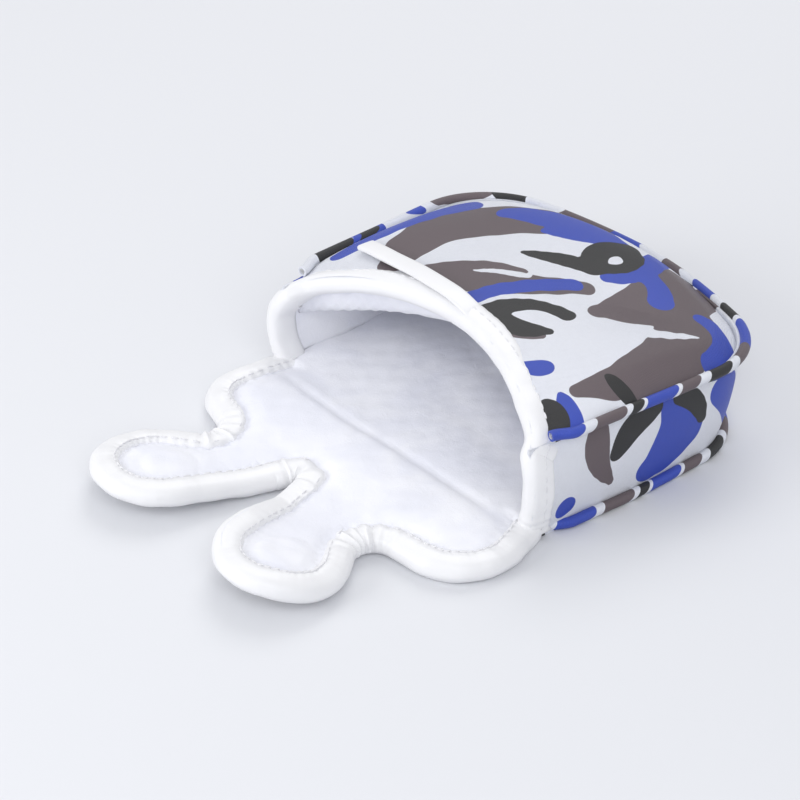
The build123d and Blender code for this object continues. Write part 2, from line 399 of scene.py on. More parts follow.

# %% [markdown]
# ## Meshes from outlines and grids
#
# Two kinds of sheet make up the cover. A sheet that is cut to an outline, such as the top panel, is
# triangulated in plan and then lifted to its height. A sheet that wraps round, such as the gusset, is
# a grid. Both are closed solids with a real thickness, so nothing is paper thin in the model.

# %% Helpers that make meshes


def mesh_object(name, points, faces, material, smooth=True):
    """A mesh object at the origin from points in millimetres."""
    mesh = bpy.data.meshes.new(name)
    mesh.from_pydata([tuple(float(c) * MM for c in p) for p in points], [], faces)
    mesh.validate()
    mesh.materials.append(material)
    bm = bmesh.new()
    bm.from_mesh(mesh)
    bmesh.ops.recalc_face_normals(bm, faces=bm.faces)
    bm.to_mesh(mesh)
    bm.free()
    for polygon in mesh.polygons:
        polygon.use_smooth = smooth
    piece = bpy.data.objects.new(name, mesh)
    scene.collection.objects.link(piece)
    return piece


def gaps(points, outline):
    """The distance from each point to the nearest side of an outline, both in plan."""
    points, start = np.asarray(points, float)[:, None, :2], np.asarray(outline, float)[:-1, :2]
    run = np.asarray(outline, float)[1:, :2] - start
    along = ((points - start) * run).sum(2) / np.maximum((run**2).sum(1), 1e-9)
    near = start + np.clip(along, 0, 1)[..., None] * run
    return np.sqrt(((points - near) ** 2).sum(2)).min(1)


def within(points, outline):
    """Which points lie inside a closed outline."""
    x, y = points[:, 0:1], points[:, 1:2]
    a = np.asarray(outline, float)
    b = np.roll(a, -1, axis=0)
    straddles = (a[:, 1] > y) != (b[:, 1] > y)
    with np.errstate(divide="ignore", invalid="ignore"):
        crossing = (b[:, 0] - a[:, 0]) * (y - a[:, 1]) / (b[:, 1] - a[:, 1]) + a[:, 0]
    return (straddles & (x < crossing)).sum(1) % 2 == 1


def triangulate(outline, spacing):
    """Plan points and triangles that fill a closed outline evenly."""
    outline = np.asarray(outline, float)
    ahead = np.roll(outline, -1, axis=0)
    if (outline[:, 0] * ahead[:, 1] - ahead[:, 0] * outline[:, 1]).sum() < 0:
        outline = outline[::-1]
    lo, hi = outline.min(0), outline.max(0)
    rows = np.arange(lo[1] + spacing / 2, hi[1], spacing * 0.866)
    grid = [(x + (k % 2) * spacing / 2, y) for k, y in enumerate(rows)
            for x in np.arange(lo[0], hi[0], spacing)]
    grid = np.array(grid)
    grid = grid[within(grid, outline)]
    closed = np.vstack([outline, outline[:1]])
    grid = grid[gaps(grid, closed) > spacing * 0.55]
    points = [Vector(p) for p in np.vstack([outline, grid])]
    count = len(outline)
    edges = [(i, (i + 1) % count) for i in range(count)]
    made = delaunay_2d_cdt(points, edges, [], 1, 1e-4)
    return np.array([tuple(p) for p in made[0]]), [tuple(f) for f in made[2]]


def plate(name, outline, spacing, surfaces, material):
    """A closed sheet cut to an outline. surfaces gives its upper and lower faces: plan to 3D."""
    plan, triangles = triangulate(outline, spacing)
    upper, lower = (np.asarray(surface(plan), float) for surface in surfaces)
    count = len(plan)
    faces = [f for f in triangles] + [tuple(i + count for i in reversed(f)) for f in triangles]
    seen = {}
    for a, b, c in triangles:
        for edge in ((a, b), (b, c), (c, a)):
            seen[frozenset(edge)] = None if frozenset(edge) in seen else edge
    faces += [(b, a, a + count, b + count) for a, b in filter(None, seen.values())]
    return mesh_object(name, np.vstack([upper, lower]), faces, material)


def shell(name, outer, inner, material):
    """A closed sheet between two grids of points, rows by columns."""
    rows, columns = outer.shape[:2]
    points = np.vstack([outer.reshape(-1, 3), inner.reshape(-1, 3)])
    back = rows * columns

    def at(i, j):
        return i * columns + j

    faces = []
    for i in range(rows - 1):
        for j in range(columns - 1):
            quad = (at(i, j), at(i, j + 1), at(i + 1, j + 1), at(i + 1, j))
            faces += [quad, tuple(back + k for k in reversed(quad))]
    for i in (0, rows - 1):
        faces += [(at(i, j), at(i, j + 1), back + at(i, j + 1), back + at(i, j))
                  for j in range(columns - 1)]
    for j in (0, columns - 1):
        faces += [(at(i, j), at(i + 1, j), back + at(i + 1, j), back + at(i, j)) for i in range(rows - 1)]
    return mesh_object(name, points, faces, material)


def evenly(points, step):
    """The same line with points a fixed step apart."""
    points = np.asarray(points, float)
    reach = np.concatenate([[0], np.cumsum(np.linalg.norm(np.diff(points, axis=0), axis=1))])
    stops = np.linspace(0, reach[-1], max(2, int(round(reach[-1] / step)) + 1))
    return np.stack([np.interp(stops, reach, points[:, k]) for k in range(points.shape[1])], 1)


def arc(centre, radius, start, end, step=0.8):
    """Points on an arc, from one angle to another, in radians."""
    count = max(3, int(abs(end - start) * radius / step) + 1)
    turn = np.linspace(start, end, count)
    return np.stack([centre[0] + radius * np.cos(turn), centre[1] + radius * np.sin(turn)], 1)


def ripple(x, y, length, seed):
    """A smooth, repeatable unevenness from -1 to 1, with hills about length apart."""
    draw = random.Random(seed)
    total = np.zeros(np.broadcast(x, y).shape)
    for _ in range(5):
        heading, phase = draw.uniform(0, math.tau), draw.uniform(0, math.tau)
        pace = math.tau / (length * draw.uniform(0.8, 1.7))
        total += np.sin((x * math.cos(heading) + y * math.sin(heading)) * pace + phase)
    return total / 3.2


def smooth_step(value, start, end):
    t = np.clip((np.asarray(value, float) - start) / (end - start), 0, 1)
    return t * t * (3 - 2 * t)


print("mesh helpers ready")

# %% [markdown]
# ## The print
#
# The pattern is woodland camouflage: rounded, branching patches. A patch is drawn as a brush would draw
# it, as a few strokes whose width changes along the way. Where strokes meet, a smooth minimum joins
# them with a soft fillet, as ink would. The top panel and the right side of the gusset show from the
# front, so their strokes are listed one by one: each is a curve through a start, a middle and an end. On
# the top panel a place is a share of the half width and of the depth. A seeded scatter fills the rest.

# %% Ink fields from brush strokes
TOP_STROKES = {
    "brown": [
        [(-0.55, 0.25, 5), (-0.65, 0.60, 11), (-0.20, 0.88, 8)],
        [(-0.35, 0.25, 5), (-0.25, 0.38, 5), (-0.05, 0.50, 2.5)],
        [(-0.20, 0.30, 5), (0.00, 0.42, 6.5), (0.25, 0.60, 3.5)],
        [(0.45, 0.55, 4), (0.55, 0.75, 12), (0.45, 0.90, 9)],
        [(0.75, 0.75, 9), (0.92, 0.52, 8), (0.83, 0.25, 2.5)],
        [(0.30, 0.24, 2.5), (0.36, 0.28, 2.5), (0.45, 0.32, 1.5)],
    ],
    "white": [
        [(0.60, 0.48, 3), (0.74, 0.60, 2), (0.86, 0.72, 0.5)],
        [(-0.20, 0.40, 0.5), (-0.10, 0.45, 1), (0.00, 0.50, 1.5)],
    ],
    "blue": [
        [(-0.90, 0.20, 3), (-0.90, 0.45, 5), (-0.85, 0.70, 6)],
        [(-0.80, 0.85, 2), (-0.75, 0.90, 3), (-0.70, 0.90, 2)],
        [(-0.60, 0.75, 4), (-0.32, 0.84, 7), (0.05, 0.86, 4)],
        [(-0.30, 0.75, 2), (-0.15, 0.80, 3), (0.00, 0.85, 3)],
        [(0.00, 0.25, 3), (0.04, 0.40, 3.5), (0.20, 0.58, 3.5)],
        [(0.25, 0.70, 3), (0.30, 0.80, 4), (0.20, 0.95, 4)],
        [(0.30, 0.80, 4), (0.42, 0.80, 3), (0.54, 0.75, 4.5)],
        [(0.55, 0.19, 1.5), (0.60, 0.21, 2.5), (0.64, 0.24, 2.5)],
        [(0.75, 0.80, 2.5), (0.90, 0.80, 3), (1.00, 0.70, 4)],
        [(0.80, 0.20, 1), (0.90, 0.18, 3), (1.00, 0.15, 2)],
    ],
    "charcoal": [
        [(-0.20, 0.60, 1), (-0.05, 0.65, 3), (0.15, 0.70, 3)],
        [(0.15, 0.70, 4), (0.04, 0.78, 4), (0.10, 0.86, 4)],
        [(0.10, 0.86, 4), (0.24, 0.80, 2.5), (0.15, 0.70, 3)],
        [(0.15, 0.27, 4), (0.22, 0.40, 2.5), (0.40, 0.45, 3)],
        [(0.15, 0.27, 4), (0.30, 0.28, 4), (0.45, 0.35, 1.5)],
        [(0.80, 0.14, 2), (0.88, 0.14, 3), (0.95, 0.12, 2)],
        [(0.85, 0.35, 1), (0.93, 0.36, 2), (1.00, 0.37, 2)],
    ],
}
SIDE_STROKES = {
    "brown": [[(25, 30, 4), (25, 20, 3.5), (30, 10, 1.5)]],
    "white": [],
    "blue": [[(56, 27, 7), (57, 17, 9), (46, 8, 5)], [(75, 25, 6), (80, 20, 6), (85, 12, 5)],
             [(12, 7, 2), (13, 8, 2.5), (15, 8, 2)]],
    "charcoal": [[(32, 20, 3), (38, 26, 4), (47, 30, 3)], [(56, 30, 2), (62, 27, 3), (66, 18, 2)]],
}


def curved(stroke, steps=7):
    """A stroke through its start, middle and end, as a smooth curve whose width changes evenly."""
    start, middle, end = (np.array(place, float) for place in stroke)
    t = np.linspace(0, 1, steps)[:, None]
    return start * (1 - t) * (1 - 2 * t) + middle * 4 * t * (1 - t) + end * t * (2 * t - 1)


TOP_SCALE = np.array([MOUTH_HALF + 2, BACK_Y, 1])
TOP_PRINT = {ink: [curved(stroke) * TOP_SCALE for stroke in strokes] for ink, strokes in TOP_STROKES.items()}
SIDE_PRINT = {ink: [curved(stroke) for stroke in strokes] for ink, strokes in SIDE_STROKES.items()}


def brush(points, strokes, softness=1.6):
    """The distance in millimetres to the edge of some strokes: negative inside them."""
    field = np.full(len(points), 60.0)
    for stroke in strokes:
        ends = stroke if len(stroke) > 1 else stroke * 2
        for (x0, y0, r0), (x1, y1, r1) in zip(ends, ends[1:]):
            run = np.array([x1 - x0, y1 - y0])
            off = points - np.array([x0, y0])
            t = np.clip(off @ run / max(run @ run, 1e-9), 0, 1)
            gap = np.linalg.norm(off - t[:, None] * run, axis=1) - (r0 + (r1 - r0) * t)
            blend = np.clip(0.5 + 0.5 * (field - gap) / softness, 0, 1)
            field = field * (1 - blend) + gap * blend - softness * blend * (1 - blend)
    return field


def scatter(seed, low_corner, high_corner, counts):
    """Random branching strokes for each ink over a plan area, the same on every run."""
    draw = random.Random(seed)
    pattern = {"white": []}
    for ink, count in counts.items():
        pattern[ink] = []
        for _ in range(count):
            x, y = (draw.uniform(a, b) for a, b in zip(low_corner, high_corner))
            heading, width = draw.uniform(-0.9, 0.9) + draw.choice((0, math.pi)), draw.uniform(2.4, 5.5)
            stroke = [(x, y, width * 0.5)]
            for _ in range(draw.randint(2, 4)):
                x += 10 * math.cos(heading)
                y += 10 * math.sin(heading)
                heading += draw.uniform(-0.9, 0.9)
                stroke.append((x, y, width * draw.uniform(0.5, 1.3)))
            pattern[ink].append(stroke)
    return pattern


def ink_up(piece, plan, pattern):
    """Stores each ink's field on a piece, from where its points lie in the print."""
    warp = np.stack([ripple(plan[:, 0], plan[:, 1], 13, 5), ripple(plan[:, 0], plan[:, 1], 13, 6)], 1)
    plan = plan + 0.5 * warp
    white = brush(plan, pattern["white"]) if pattern["white"] else None
    for ink in INKS:
        field = brush(plan, pattern[ink])
        if ink == "brown" and white is not None:
            field = np.maximum(field, -white)
        stored = piece.data.attributes.new(ink, "FLOAT", "POINT")
        stored.data.foreach_set("value", field.astype(np.float32))


def plan_of(piece):
    """A piece's points in millimetres."""
    found = np.empty(len(piece.data.vertices) * 3)
    piece.data.vertices.foreach_get("co", found)
    return found.reshape(-1, 3) / MM


print("print:", {ink: len(strokes) for ink, strokes in TOP_PRINT.items()})

# %% [markdown]
# ## The pouch's outline
#
# In plan the pouch is a D. Its sides are straight and spread a little, its back is a shallow arc, and
# the corners are arcs that touch both. Moving the outline in by the depth of a layer gives the place
# of every layer, so the same function serves the leatherette, the foam and the plush.

# %% The outline in plan


def corner_centre():
    """Where the back corners' arcs are centred, so that they touch the side and the back."""
    back_centre, y = BACK_Y - BACK_RADIUS, BACK_Y
    for _ in range(40):
        x = MOUTH_HALF + SIDE_SPREAD * y - CORNER_RADIUS * SIDE_LEAN
        y = back_centre + math.sqrt((BACK_RADIUS - CORNER_RADIUS) ** 2 - x**2)
    return x, y


CORNER_X, CORNER_Y = corner_centre()


def side_x(y, inset=0.0):
    """The half width of the pouch at y."""
    return MOUTH_HALF + SIDE_SPREAD * y - inset * SIDE_LEAN


def pouch_outline(inset, start_y):
    """The D from the right of the mouth, round the back, to the left of the mouth."""
    first = -math.atan(SIDE_SPREAD)
    last = math.atan2(CORNER_Y - (BACK_Y - BACK_RADIUS), CORNER_X)
    corner = arc((CORNER_X, CORNER_Y), CORNER_RADIUS - inset, first, last)
    half_back = arc((0, BACK_Y - BACK_RADIUS), BACK_RADIUS - inset, last, math.pi / 2)
    right = np.vstack([[(side_x(start_y, inset), start_y)], corner, half_back[1:]])
    left = right[::-1][1:] * np.array([-1, 1])
    return np.vstack([right, left])


def arch_y(x):
    """The mouth's edge across the top panel, in plan."""
    return ARCH_CENTRE_Y + np.sqrt(ARCH_RADIUS**2 - np.asarray(x, float) ** 2)


def rake_y(z):
    """The mouth's edge up each side wall."""
    return z * MOUTH_CORNER_Y / SEAM_Z


LEFT_BOW, LEFT_FORWARD, RIGHT_BOW = 3.0, 2.6, 0.8


def settle(points):
    """Where a point of the pouch's walls ends up once the cover has been handled: near the mouth the
    left wall bows out and forwards, and the corners between the walls and the arch are rounded."""
    points = np.array(points, float)
    x, y, z = points[..., 0], points[..., 1], points[..., 2]
    side = np.sign(x)
    mid_height = np.sin(np.pi * np.clip(z / SEAM_Z, 0, 1))
    at_wall = smooth_step(np.abs(x), 30, 56) * smooth_step(y, 32, 0) * mid_height
    x = x + side * np.where(x < 0, LEFT_BOW, RIGHT_BOW) * at_wall
    y = y - np.where(x < 0, LEFT_FORWARD, 0.0) * at_wall
    corner_x, corner_z = side * (MOUTH_HALF - 4.0), SEAM_Z - 4.0
    reach = np.hypot(x - corner_x, z - corner_z)
    keep = 1 - 0.62 * smooth_step(y, 20, 6) * np.exp(-((reach / 6.5) ** 2))
    return np.stack([corner_x + (x - corner_x) * keep, y, corner_z + (z - corner_z) * keep], -1)


def tuck_under(points):
    """The walls lean in towards the base at the back, where nothing holds them out."""
    points = np.array(points, float)
    x, y, z = points[..., 0], points[..., 1], points[..., 2]
    below = np.clip(1 - z / SEAM_Z, 0, 1)
    x = x - np.sign(x) * 3.2 * below * smooth_step(y, 30, 85) * smooth_step(np.abs(x), 20, 60)
    y = y - 4.5 * below * smooth_step(y, 55, 100)
    return np.stack([x, y, z], -1)


print(f"back corners centred at x {CORNER_X:.1f}, y {CORNER_Y:.1f}")

# %% [markdown]
# ## The top panel
#
# The panel is a shallow dome that tucks down into its seam. It was stuffed by hand, so it isn't a
# perfect ball: a slow ripple of a third of a millimetre keeps the light on it alive. The lining below
# it is cut a little loose, and behind the left half of the mouth it sags away from the foam.

# %% Top panel: leatherette, foam and lining
SEAM_TUCK = 1.3
TUCK_REACH = 4.0
PILLOW = 3.4
LINING_SAG = 11.0


def dome(plan, depth):
    """Heights on the dome, this deep under its outer face."""
    radius = DOME_RADIUS - depth
    flat = plan[:, 0] ** 2 + (plan[:, 1] - DOME_Y) ** 2
    return DOME_TOP - DOME_RADIUS + np.sqrt(radius**2 - flat)


def top_height(plan, depth):
    """Heights in the top panel: full behind its seam, and tucked down into it."""
    edge = gaps(plan, pouch_outline(0, MOUTH_CORNER_Y))
    tuck = SEAM_TUCK * np.clip(1 - edge / TUCK_REACH, 0, 1) ** 2
    ring = smooth_step(edge, 0, 10) * (1 - smooth_step(edge, 12, 42))
    full = PILLOW * ring * smooth_step(plan[:, 1], 12, 60)
    return dome(plan, depth) - tuck + full + 0.3 * ripple(plan[:, 0], plan[:, 1], 46, 3)


def sag(plan):
    """How far the lining hangs below the foam: it starts behind the mouth and dies out at the right."""
    behind = plan[:, 1] - arch_y(np.clip(plan[:, 0], -MOUTH_HALF, MOUTH_HALF))
    drop = smooth_step(behind, 0.5, 6) * (1 - 0.6 * smooth_step(behind, 14, 45))
    return LINING_SAG * drop * smooth_step(plan[:, 0], 44, -50)


def lift(height):
    """Turns a height function into a surface for plate()."""
    return lambda plan: np.column_stack([plan, height(plan)])


def lift_wall(height):
    """The same, for a wall of the pouch."""
    return lambda plan: settle(lift(height)(plan))


def lift_base(height):
    """The same, for the base."""
    return lambda plan: tuck_under(lift(height)(plan))


def top_outline(inset):
    corner = side_x(MOUTH_CORNER_Y, inset)
    across = np.linspace(-corner, corner, 130)[:-1]
    front = np.column_stack([across, arch_y(across)])
    start_y = float(arch_y(corner))
    return np.vstack([front, evenly(pouch_outline(inset, start_y), 1.0)[:-1]])


top_panel = plate("top_leatherette", top_outline(0), 1.05,
                  (lift_wall(lambda p: top_height(p, 0)),
                   lift_wall(lambda p: top_height(p, SKIN))), LEATHERETTE)
ink_up(top_panel, plan_of(top_panel)[:, :2], TOP_PRINT)
top_foam = plate("top_padding", top_outline(SKIN), 3.0,
                 (lift_wall(lambda p: top_height(p, SKIN + 0.05)),
                  lift_wall(lambda p: top_height(p, SKIN + FOAM) - 0.6 * sag(p))), FOAM_SHEET)
top_lining = plate("top_plush", top_outline(SKIN + FOAM), 2.0,
                   (lift_wall(lambda p: top_height(p, SKIN + FOAM + 0.05) - 0.6 * sag(p)),
                    lift_wall(lambda p: top_height(p, WALL) - sag(p))), PLUSH_CLOTH)
TOP_PIECES = {top_panel: ("top_panel", "printed_leatherette"), top_foam: ("top_foam", "foam"),
              top_lining: ("top_lining", "plush")}
print("top panel:", {p.name: len(p.data.polygons) for p in TOP_PIECES})

# %% [markdown]
# ## The gusset
#
# The side panel runs from one corner of the mouth, round the back, to the other. It bellies out
# between its two seams, because the foam fills it. Its front edges lean back, as the mouth does.

# %% Side panel: leatherette, foam and lining
SIDE_BELLY = 1.5


def belly(z):
    """How far the wall stands out at a height."""
    return SIDE_BELLY * math.sin(math.pi * min(max(z / SEAM_Z, 0), 1)) - 0.3


def side_grid(depth, z_low, z_high, rows, columns):
    """Points on the side wall, this deep under its outer face."""
    grid = []
    for z in np.linspace(z_low, z_high, rows):
        line = pouch_outline(depth - belly(z), rake_y(z))
        reach = evenly(line, 1.0)
        stops = np.linspace(0, len(reach) - 1, columns)
        ends = [np.interp(stops, np.arange(len(reach)), reach[:, k]) for k in (0, 1)]
        grid.append(np.column_stack([*ends, np.full(columns, z)]))
    return np.array(grid)


def side_layer(name, depths, node, rows, columns, material):
    span = (low(node, Z), high(node, Z), rows, columns)
    return shell(name, *(tuck_under(settle(side_grid(depth, *span))) for depth in depths), material)


side_panel = side_layer("side_leatherette", (0, SKIN), "side_panel", 36, 340, LEATHERETTE)
side_foam = side_layer("side_padding", (SKIN + 0.05, SKIN + FOAM), "side_foam", 8, 120, FOAM_SHEET)
side_lining = side_layer("side_plush", (SKIN + FOAM + 0.05, WALL), "side_lining", 14, 160, PLUSH_CLOTH)


def along_side(points):
    """Points of the gusset laid flat: the distance from the right of the mouth, and the height."""
    line = pouch_outline(0, 0.0)
    line = evenly(line, 1.0)
    stops = np.arange(len(line), dtype=float)
    nearest = [int(np.argmin(((line - p[:2]) ** 2).sum(1))) for p in points]
    tangent = np.gradient(line, axis=0)
    offset = [(points[i, :2] - line[n]) @ tangent[n] for i, n in enumerate(nearest)]
    return np.column_stack([stops[nearest] + offset, points[:, 2]])


SIDE_LENGTH = len(evenly(pouch_outline(0, 0.0), 1.0))
side_pattern = scatter(11, (102, 4), (SIDE_LENGTH - 8, 30), {"brown": 7, "blue": 7, "charcoal": 6})
for ink, strokes in SIDE_PRINT.items():
    side_pattern[ink] = side_pattern[ink] + strokes
ink_up(side_panel, along_side(plan_of(side_panel)), side_pattern)
SIDE_PIECES = {side_panel: ("side_panel", "printed_leatherette"), side_foam: ("side_foam", "foam"),
               side_lining: ("side_lining", "plush")}
print(f"gusset: {SIDE_LENGTH} mm long")

# %% [markdown]
# ## The edge of the flap
#
# The flap's edge is a line of arcs joined by straight runs, so it's drawn the way a belt runs round
# pegs: name the pegs and which way the belt turns at each, and the straight runs follow. The two
# halves aren't alike. The cover is soft and the lobes have been bent by hand. So the pegs come from
# the frame's even flap, and each side then has its own few millimetres of being pressed or bent.

# %% The belt and its pegs


def belt(pegs, step=0.7):
    """A line round some pegs: (x, y, radius, turn), where turn is 1 for clockwise and -1 for the other."""
    runs = []
    for (x0, y0, r0, s0), (x1, y1, r1, s1) in zip(pegs, pegs[1:]):
        heading = math.atan2(y1 - y0, x1 - x0)
        heading += math.asin((s1 * r1 - s0 * r0) / math.hypot(x1 - x0, y1 - y0))
        side = (math.sin(heading), -math.cos(heading))
        runs.append(((x0 - s0 * r0 * side[0], y0 - s0 * r0 * side[1]),
                     (x1 - s1 * r1 * side[0], y1 - s1 * r1 * side[1])))
    line = [runs[0][0]]
    for (x, y, radius, turn), before, after in zip(pegs[1:-1], runs, runs[1:]):
        start = math.atan2(before[1][1] - y, before[1][0] - x)
        end = math.atan2(after[0][1] - y, after[0][0] - x)
        sweep = ((start - end) * turn) % math.tau
        for k in range(max(4, int(sweep * radius / step)) + 1):
            angle = start - turn * sweep * k / max(4, int(sweep * radius / step))
            line.append((x + radius * math.cos(angle), y + radius * math.sin(angle)))
    line.append(runs[-1][1])
    return evenly(line, step)


ROLL = 3.4
FLAP_SIDE = high("flap_panel", X) - ROLL
SHOULDER_FRONT = LOBE_FOLD + 14
SHOULDER_ROUND = {1: 20.0, -1: 16.0}
PRESSED_OUT = {1: 5.0, -1: 0.0}
SHOULDER = {s: (s * (FLAP_SIDE + PRESSED_OUT[s] - SHOULDER_ROUND[s]), SHOULDER_FRONT + SHOULDER_ROUND[s],
                SHOULDER_ROUND[s]) for s in (1, -1)}
LOBE_X = (low("right_lobe_magnet", X) + high("right_lobe_magnet", X)) / 2
LOBE_ROUND = high("right_lobe_panel", X) - LOBE_X
LOBE_Y = low("right_lobe_panel", Y) + LOBE_ROUND
BENT_OUT = {1: -1.5, -1: 4.5}
PULLED_FORWARD = {1: -0.5, -1: 2.0}
LOBE = {s: (s * (LOBE_X + BENT_OUT[s]), LOBE_Y - PULLED_FORWARD[s], LOBE_ROUND - ROLL) for s in (1, -1)}
WAIST = {s: (s * (LOBE_X + 14 + BENT_OUT[s] / 2), LOBE_FOLD + 6, 7.0) for s in (1, -1)}
SLOT = (-3.5, LOBE_FOLD + 11, 2.2)
SETTLED = 0.01
LIFT = {s: (high(f"{side}_lobe_panel", Z) - high("flap_panel", Z))
        / (LOBE_FOLD - low(f"{side}_lobe_panel", Y)) - SETTLED for s, side in ((1, "right"), (-1, "left"))}
INNER_RISE = {1: 4.0, -1: 1.0}
MAGNET_REACH = high("right_lobe_magnet", X) - LOBE_X + 0.5
TWIST = {s: -s * INNER_RISE[s] / (LOBE_ROUND - MAGNET_REACH) for s in (1, -1)}
CUT_Y = -42.0

FLAP_EDGE = belt([(MOUTH_HALF + 0.8, 3.0, 0, 1),
                  (*SHOULDER[1], 1), (*WAIST[1], -1), (*LOBE[1], 1), (*SLOT, -1),
                  (*LOBE[-1], 1), (*WAIST[-1], -1), (*SHOULDER[-1], 1), (-MOUTH_HALF - 0.8, 3.0, 0, 1)])
crossings = np.flatnonzero(np.diff(np.sign(FLAP_EDGE[:, 1] - CUT_Y)) != 0) + 1
for index in crossings:
    FLAP_EDGE[index, 1] = CUT_Y
RUNS = dict(zip(("right_flap", "right_lobe", "slot", "left_lobe", "left_flap"),
                zip([0, *crossings], [*crossings, len(FLAP_EDGE) - 1])))
print("edge runs:", {name: int(b - a) for name, (a, b) in RUNS.items()})


def inward(line):
    """The direction into the cloth at each point of the edge, in plan."""
    run = np.gradient(line, axis=0)
    run /= np.linalg.norm(run, axis=1)[:, None]
    return np.column_stack([run[:, 1], -run[:, 0]])


EDGE_IN = inward(FLAP_EDGE)

# %% [markdown]
# ## How the flap lies
#
# One height function serves the base, the flap and both lobes, so their layers can never cross. Out
# of the mouth the cloth lies on its tape. Past the lobes' fold each lobe curls up off the floor, the
# right one more than the left, and its inner side has sprung up. The magnet in each lobe is stiff,
# so the cloth stays flat across it and turns only beyond its rim.

# %% Heights of the base, the flap and the lobes


def middle_height(plan):
    """The middle of the wall's thickness, anywhere on the base, the flap and the lobes."""
    x, y = plan[:, 0], plan[:, 1]
    on_right = smooth_step(x, SLOT[0] - 6, SLOT[0] + 6)
    rise = LIFT[-1] + (LIFT[1] - LIFT[-1]) * on_right
    past = LOBE_FOLD - y
    bend = 0.5 * (past + np.sqrt(past**2 + 36)) * smooth_step(y, -10, -30)
    across = x - np.where(x > SLOT[0], LOBE_X, -LOBE_X)
    beyond = np.sign(across) * np.maximum(np.abs(across) - MAGNET_REACH, 0)
    turned = np.where(x > SLOT[0], TWIST[1], TWIST[-1]) * beyond
    base = HALF_WALL + (FLAP_MIDDLE - HALF_WALL) * smooth_step(y, -1, -10)
    return np.maximum(base + rise * bend + turned * np.clip(past, 0, 15) / 15, base)


def edge_gap(plan):
    """The distance to the flap's edge, and how far along the edge the nearest point is."""
    points, count = np.asarray(plan)[:, :2], len(FLAP_EDGE)
    nearest = np.zeros(len(points), int)
    for k in range(0, len(points), 2000):
        block = points[k:k + 2000, None, :] - FLAP_EDGE[None, ::2, :]
        nearest[k:k + 2000] = np.minimum((block**2).sum(2).argmin(1) * 2, count - 1)
    return np.linalg.norm(points - FLAP_EDGE[nearest], axis=1), nearest * 0.7


STITCH_PITCH = 3.3
MAGNETS = [(-28.5, LOBE_FOLD - 16.5), (28.5, LOBE_FOLD - 16.5)]


def plush_top(plan):
    """The plush's upper face: puffed, dimpled where the tape is sewn down, and creased at the mouth."""
    x, y = plan[:, 0], plan[:, 1]
    edge, along = edge_gap(plan)
    edge = np.where(y > 1, 30, edge)
    puff = 0.9 * smooth_step(edge, 6, 15)
    dimple = 0.7 + 0.3 * np.cos(math.tau * along / STITCH_PITCH)
    sewn = 1.1 * dimple * np.exp(-((edge - TAPE_WIDTH - 0.3) / 1.5) ** 2)
    crease_y = FLAP_FOLD + 1.5 + 2.0 * np.sin(x / 23)
    crease = 0.9 * np.exp(-((y - crease_y) / 1.6) ** 2) * smooth_step(np.abs(x), 60, 30)
    inside = smooth_step(y, 5, 30)
    waves = (0.35 + 0.6 * inside) * ripple(x, y, 30, 8) + 0.12 * ripple(x, y, 6, 9)
    top = middle_height(plan) + HALF_WALL + puff - sewn - crease + waves * smooth_step(edge, 3, 12)
    for mx, my in MAGNETS:
        gap = np.hypot(x - mx, y - my)
        top += 0.2 * smooth_step(gap, 9, 6) - 0.22 * np.exp(-((gap - 9) / 1.0) ** 2)
    return top


def level(offset):
    """A layer's face, this far above the middle of the wall."""
    return lift_base(lambda plan: middle_height(plan) + offset)


PLUSH_LOW = HALF_WALL - PLUSH
FOAM_LOW = -HALF_WALL + SKIN
print(f"heights ready, lobes rise {LIFT[1] * 30:.0f} and {LIFT[-1] * 30:.0f} mm")

# %% [markdown]
# ## The base, the flap and the lobes
#
# The base and the flap are cut in one, so each layer of them is one piece that bends at the mouth.
# Each lobe's layers meet them at a straight line just before the lobes' fold, and bend there. The
# rims of the sheets are marked sharp, so that the shading runs on across that line.

# %% Cut and place the layers


def sheet_outline(part, inset, base_inset):
    """The plan of the base with the flap, or of one lobe, set in from the edge."""
    edge = FLAP_EDGE + inset * EDGE_IN
    if part == "base":
        right = edge[:RUNS["right_flap"][1] + 1]
        slot = edge[RUNS["slot"][0]:RUNS["slot"][1] + 1]
        left = edge[RUNS["left_flap"][0]:]
        pouch = evenly(pouch_outline(base_inset, 4.5), 1.5)[::-1]
        return np.vstack([straight(right, slot), straight(slot, left), left, pouch])
    first, last = RUNS[part]
    lobe = edge[first:last + 1]
    return straight(lobe, lobe[:1])


def straight(line, onward):
    """A line, with an even run of points from its end to where the next one starts."""
    start, end = line[-1], onward[0]
    count = max(2, int(np.linalg.norm(end - start) / 1.2))
    return np.vstack([line, start + (end - start) * np.linspace(0, 1, count + 1)[1:-1, None]])


def sharp_rims(piece):
    """Marks the edges where a sheet's face meets its rim."""
    bm = bmesh.new()
    bm.from_mesh(piece.data)
    for edge in bm.edges:
        if len(edge.link_faces) == 2 and edge.calc_face_angle(0) > 0.9:
            edge.smooth = False
    bm.to_mesh(piece.data)
    bm.free()


